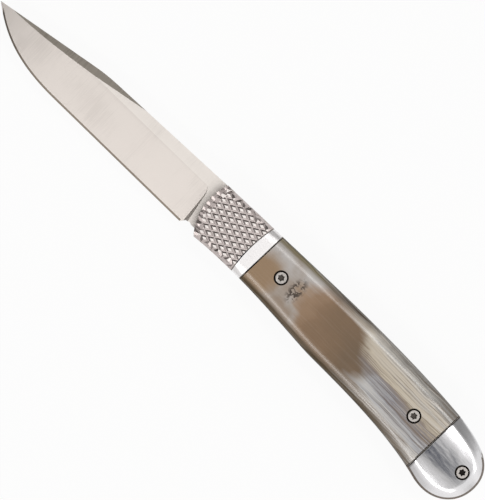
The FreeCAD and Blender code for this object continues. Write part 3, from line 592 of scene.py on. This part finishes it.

# End bolsters: a clear mirror with slow swells, and a dull rim painted dark as shade; collars: white, without
# clear images
polished = buffed_steel("buffed_end_steel", "#dedee0", 0.13, 0.05 * MM)
rim_shade_steel = worn_metal("rim_painted_shade_steel", "#7b726b", "#8d847d", 0.5, 0.3 * MM)
collar_steel = buffed_steel("buffed_collar_steel", "#f4f2f2", 0.42, 0.002 * MM)

# Works: warm grey liners with fine lines, dark blue-grey springs, yellow-brown washers, bright turned screws
# and pins, and screw sockets painted dark as shade
liner = ground_steel("ground_liner_steel", "#a39c94", "#bdb6ae", 0.4, 0.2 * MM)
spring = worn_metal("blued_spring_steel", "#3e434e", "#525865", 0.35, 0.4 * MM)
bronze = worn_metal("rolled_bronze", "#a27c45", "#bb955a", 0.38, 0.3 * MM)
screw = worn_metal("turned_screw_steel", "#bdb8b3", "#d2cdc8", 0.3, 0.2 * MM)
socket_shade = worn_metal("socket_painted_shade", "#4c4743", "#5f5a55", 0.5, 0.2 * MM)
end_socket_shade = worn_metal("end_socket_painted_shade", "#1f1c1b", "#2d2a28", 0.5, 0.2 * MM)

# Scales: smooth horn with a soft shine; joints: nearly black and dull; recesses round the screws: the same
# nearly black, as painted shade
front_horn = polished_horn("polished_horn_front", patch=(36.8, 1.4), reach=(16.0, 9.5), tan=(9.0, -0.5),
                           split=(21.5, 2.8), slope=0.12)
back_horn = polished_horn("polished_horn_back", patch=(46.0, 1.0), reach=(20.0, 7.0), tan=(12.0, 2.0),
                          split=(66.0, -1.0), slope=0.09)
joint_dark_and_recess_shade = worn_metal("dark_joints_and_recess_shade", "#2a241f", "#3a332d", 0.6, 0.3 * MM)


# Pieces

def copied(node):
    """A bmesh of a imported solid, with its loose triangles joined and its flat faces made whole."""
    shape = bmesh.new()
    shape.from_mesh(frame["nodes"][node].data)
    bmesh.ops.remove_doubles(shape, verts=shape.verts, dist=MERGE_DISTANCE)
    bmesh.ops.dissolve_limit(shape, angle_limit=FLAT_TURN, verts=shape.verts, edges=shape.edges)
    return shape


def turn_of(edge):
    """How sharply a convex edge turns, in degrees; hollow and open edges give 0."""
    if len(edge.link_faces) != 2 or not edge.is_convex:
        return 0
    return math.degrees(edge.calc_face_angle(0))


def soften(shape, edges, width, segments, clamp=True):
    """Rounds the edges, and gives the new faces."""
    return bmesh.ops.bevel(shape, geom=edges, offset=width, offset_type="OFFSET", segments=segments,
                           profile=0.5, affect="EDGES", clamp_overlap=clamp, loop_slide=clamp,
                           material=-1)["faces"]


def cut_across(shape, place, across):
    """Adds edges to every face that a plane goes through."""
    bmesh.ops.bisect_plane(shape, geom=shape.verts[:] + shape.edges[:] + shape.faces[:],
                           plane_co=place, plane_no=across)


def height_of(place):
    """How far a place is from the middle plane, towards either face."""
    return abs(place.z - MIDDLE)


def is_facet(face):
    """Whether a face lies level at the very front or back of the knife."""
    return abs(face.normal.z) > FACET_LEVEL and height_of(face.calc_center_median()) > MIDDLE - FACET_MARGIN


def beside(place, axis, radius):
    """Whether a place is within a radius of a screw's axis."""
    return math.hypot(place.x - axis.x, place.y - axis.y) < radius


def keep(shape, node, materials, smooth=SMOOTH_TURN, rides=True):
    """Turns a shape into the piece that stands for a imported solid, shaded smooth up to the given turn."""
    mesh = bpy.data.meshes.new("dressed_" + node)
    for edge in shape.edges:
        edge.smooth = len(edge.link_faces) == 2 and math.degrees(edge.calc_face_angle(0)) < smooth
    for face in shape.faces:
        face.smooth = True
    shape.to_mesh(mesh)
    shape.free()
    for material in materials:
        mesh.materials.append(material)
    piece = bpy.data.objects.new("dressed_" + node, mesh)
    scene.collection.objects.link(piece)
    bodies = frame["record"]["behaviour"]["bodies"]
    if rides:
        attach(piece, next(name for name, members in bodies.items() if node in members))
    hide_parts(node)
    return piece


def even_shading(piece):
    """Keeps large flat faces flat to the eye beside their rounded edges."""
    weighted = piece.modifiers.new("even_shading", "WEIGHTED_NORMAL")
    weighted.keep_sharp = True


def dress_blade():
    """The satin grind, with plunge, swedge, edge bevel and flats told apart by the way they face.

    The plunge is painted pale as light; the swedge and the edge bevel are painted darker as shade.
    """
    shape = copied("blade")
    finishes = [satin, swedge_painted_shade_steel, plunge_painted_light_steel, edge_painted_shade_steel, flat_steel]
    for face in shape.faces:
        level = abs(face.normal.z)
        finish = satin
        # Plunge faces get pale paint as light; swedge and edge faces get darker paint as shade
        if face.normal.x < PLUNGE_FACING and WALL < level < PLUNGE_SLOPE:
            finish = plunge_painted_light_steel
        elif WALL < level < SLOPE:
            finish = swedge_painted_shade_steel if face.normal.y > 0 else edge_painted_shade_steel
        elif level > FLAT:
            finish = flat_steel
        face.material_index = finishes.index(finish)
    even_shading(keep(shape, "blade", finishes, BLADE_SMOOTH_TURN))


def fill_grooves(shape, floors):
    """Raises the grooves' floors, and the hollow corners that run down to them from the border."""
    raised = {v for face in floors for v in face.verts}
    raised |= {v for v in shape.verts if KNURL_FOOT < height_of(v.co) < MIDDLE - GROOVE_FILL
               and any(not e.is_convex for e in v.link_edges)}
    for vert in raised:
        vert.co.z += math.copysign(GROOVE_FILL, vert.co.z - MIDDLE)


def fill_border(shape, foot):
    """Fills out the rounded front border, from its foot inwards."""
    for vert in shape.verts:
        front = min((p.x for p in foot if abs(p.y - vert.co.y) < FOOT_REACH), default=vert.co.x)
        inward = max(0, vert.co.x - front) / FRONT_BORDER
        if inward < 1 and height_of(vert.co) > KNURL_FOOT:
            lean = math.acos(1 - (1 - math.cos(SHOULDER_TURN)) * inward)
            rise = FULLER * SHOULDER_RISE * (1 - math.sin(lean) / math.sin(SHOULDER_TURN))
            vert.co.z = MIDDLE + math.copysign(min(MIDDLE, height_of(vert.co) + rise), vert.co.z - MIDDLE)


def dress_bolster(node):
    """The knurl: lozenges with cut flanks and tops painted pale as a highlight, over shallow grooves painted pale
    as light.
    """
    shape = copied(node)
    finishes = [knurled, groove, knurl_top_highlight]
    floors = []
    for face in shape.faces:
        height = height_of(face.calc_center_median())
        # Lozenge tops get a painted highlight, and the groove floors paint pale as light
        if is_facet(face) and face.calc_area() < LOZENGE_TOP:
            face.material_index = finishes.index(knurl_top_highlight)
        elif abs(face.normal.z) > FLOOR_LEVEL and GROOVE_LOW < height < GROOVE_HIGH:
            face.material_index = finishes.index(groove)
            floors.append(face)
    foot = [v.co.copy() for v in shape.verts if abs(height_of(v.co) - MIDDLE + SHOULDER_RISE) < FOOT_MARGIN]
    fill_grooves(shape, floors)
    fill_border(shape, foot)
    keep(shape, node, finishes, KNURL_SMOOTH_TURN)


def clear_rings(shape):
    """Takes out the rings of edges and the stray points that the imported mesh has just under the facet."""
    bmesh.ops.join_triangles(shape, faces=[f for f in shape.faces if len(f.verts) == 3],
                             angle_face_threshold=JOINED_TURN, angle_shape_threshold=math.pi)
    rings = [e for e in shape.edges if RING_TURNS[0] < turn_of(e) < RING_TURNS[1]
             and all(RING_DEPTHS[0] < MIDDLE - height_of(v.co) < RING_DEPTHS[1] for v in e.verts)]
    bmesh.ops.dissolve_edges(shape, edges=rings, use_verts=True)
    strays = [v for v in shape.verts if STRAY_DEPTHS[0] < MIDDLE - height_of(v.co) < STRAY_DEPTHS[1]
              and all(abs(f.normal.z) > SKIN_LEVEL for f in v.link_faces)]
    bmesh.ops.dissolve_verts(shape, verts=strays)


def break_ends(shape, screws):
    """Breaks the edges where the piece meets its neighbours, and makes them nearly black at the joint."""
    ends = [e for e in shape.edges if turn_of(e) > SHARP_TURN
            and all(height_of(v.co) > SHOULDER_FOOT for v in e.verts)
            and any(abs(f.normal.x) > END_FACING and abs(f.normal.z) < UPRIGHT for f in e.link_faces)
            and not any(beside(e.verts[0].co, axis, RECESS_RADIUS + RECESS_MARGIN) for axis in screws)]
    for face in soften(shape, ends, JOINT_BREAK, 2):
        face.material_index = DARK_JOINT_AND_SHADE


def paint_recess_shade(shape, screws):
    """Paints shade, nearly black, round the screws below the face."""
    for face in shape.faces:
        centre = face.calc_center_median()
        inside = any(beside(centre, axis, RECESS_RADIUS) for axis in screws)
        if inside and height_of(centre) < MIDDLE - RECESS_DEPTH:
            face.material_index = DARK_JOINT_AND_SHADE


def crown_over(shape, drop):
    """Buffs the face into a low crown, which falls away from its middle line towards back, belly and butt.

    The rim round the butt and the belly, which turns away from the face, is painted dull and dark as shade.
    """
    # Faces turned towards the butt and the belly are painted dark as shade
    for face in shape.faces:
        outward = face.normal.x > RIM_SHADE_FACING or face.normal.y < -RIM_SHADE_FACING
        if outward and abs(face.normal.z) < RIM_SHADE_LEVEL:
            face.material_index = RIM_SHADE
    low, high = (Vector([pick(v.co[i] for v in shape.verts) for i in range(3)]) for pick in (min, max))
    middle = Vector((low.x, (low.y + high.y) / 2, MIDDLE))
    half = (high.y - low.y) / 2
    for step in CROWN_CUTS:
        for across in (Vector((1, 0, 0)), Vector((0, 1, 0))):
            cut_across(shape, middle + across * step * MM, across)
    for vert in shape.verts:
        share = max(0, (height_of(vert.co) - MIDDLE) / SHOULDER_RISE + 1)
        away = abs((vert.co.y - middle.y) / half) ** 3 + abs((vert.co.x - middle.x) / half / 3) ** 3
        vert.co.z -= math.copysign(share * drop * away, vert.co.z - MIDDLE)


def dress_handle_piece(node, materials, width, segments, screws=(), crown=0):
    """Rounds the line between flat facet and shoulder, finishes the ends, paints shade into the recesses, and
    makes the crown.
    """
    shape = copied(node)
    clear_rings(shape)
    crease = [e for e in shape.edges if CREASE_TURNS[0] < turn_of(e) < CREASE_TURNS[1]
              and any(is_facet(f) for f in e.link_faces)]
    soften(shape, crease, width, segments, clamp=False)
    break_ends(shape, screws)
    paint_recess_shade(shape, screws)
    if crown:
        crown_over(shape, crown)
    even_shading(keep(shape, node, materials))


def dress_screws(node, axes, recess):
    """Screw heads with rounded rims, and sockets painted dark as shade, whose mouths the driver has worn wide."""
    shape = copied(node)
    finishes = [screw, recess]
    top = max(height_of(v.co) for v in shape.verts)
    rim = [e for e in shape.edges if turn_of(e) > SHARP_TURN
           and all(height_of(v.co) > top - HEAD_MARGIN for v in e.verts)]
    soften(shape, rim, SCREW_RIM, 3)
    # Socket faces are painted dark as shade
    for face in shape.faces:
        centre = face.calc_center_median()
        inside = any(beside(centre, axis, SOCKET_RADIUS) for axis in axes)
        below = top - SOCKET_DEPTH < height_of(centre) < top - SOCKET_MARGIN
        face.material_index = finishes.index(recess if inside and below else screw)
    for axis in axes:
        mouth = [v for v in shape.verts
                 if beside(v.co, axis, SOCKET_RADIUS) and height_of(v.co) > top - SOCKET_DEPTH]
        bmesh.ops.scale(shape, vec=(SOCKET_WEAR, SOCKET_WEAR, 1), space=Matrix.Translation(-axis),
                        verts=mouth)
    even_shading(keep(shape, node, finishes))


def dress_springs():
    """The drive spring, cut across at heights from the top of its coil to the tang, kept unattached with its
    placement baked in; and the bow behind the release, on a mesh of its own.
    """
    shape = copied("drive_spring")
    coil_top, tang = Vector((0, 0, COIL_HEIGHT)), Vector((0, 0, TANG_HEIGHT))
    for step in range(TAB_STEPS + 1):
        cut_across(shape, coil_top.lerp(tang, step / TAB_STEPS), (0, 0, 1))
    coil = keep(shape, "drive_spring", [spring], rides=False)
    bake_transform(coil)
    bow = keep(copied("return_spring"), "return_spring", [spring])
    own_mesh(bow)


dress_blade()
dress_springs()
dress_bolster("release_bolster")
dress_bolster("back_bolster")
for side, horn in (("front", front_horn), ("back", back_horn)):
    dress_handle_piece(side + "_collar", [collar_steel, joint_dark_and_recess_shade], 1.4 * MM, 6)
    dress_handle_piece(side + "_scale", [horn, joint_dark_and_recess_shade], 1.3 * MM, 6, SCALE_SCREWS)
    dress_handle_piece(side + "_end_bolster", [polished, joint_dark_and_recess_shade, rim_shade_steel], 1.0 * MM, 8,
                       [END_SCREW], CROWN)
    dress_screws(side + "_scale_screws", SCALE_SCREWS, socket_shade)
    dress_screws(side + "_end_screw", [END_SCREW], end_socket_shade)
for node in ("front_liner", "back_liner", "backspacer"):
    even_shading(keep(copied(node), node, [liner]))

inner = {
    "pivot_barrel": screw, "pivot_screw": screw, "stop_pin": screw,
    "front_washer": bronze, "back_washer": bronze,
    "lock_spring": spring, "lock_stud": screw, "leaf_screws": screw,
    "guide_studs": screw, "locating_pins": screw, "spacer_pins": screw,
}
for node, material in inner.items():
    slots = frame["nodes"][node].data.materials
    slots.clear()
    slots.append(material)
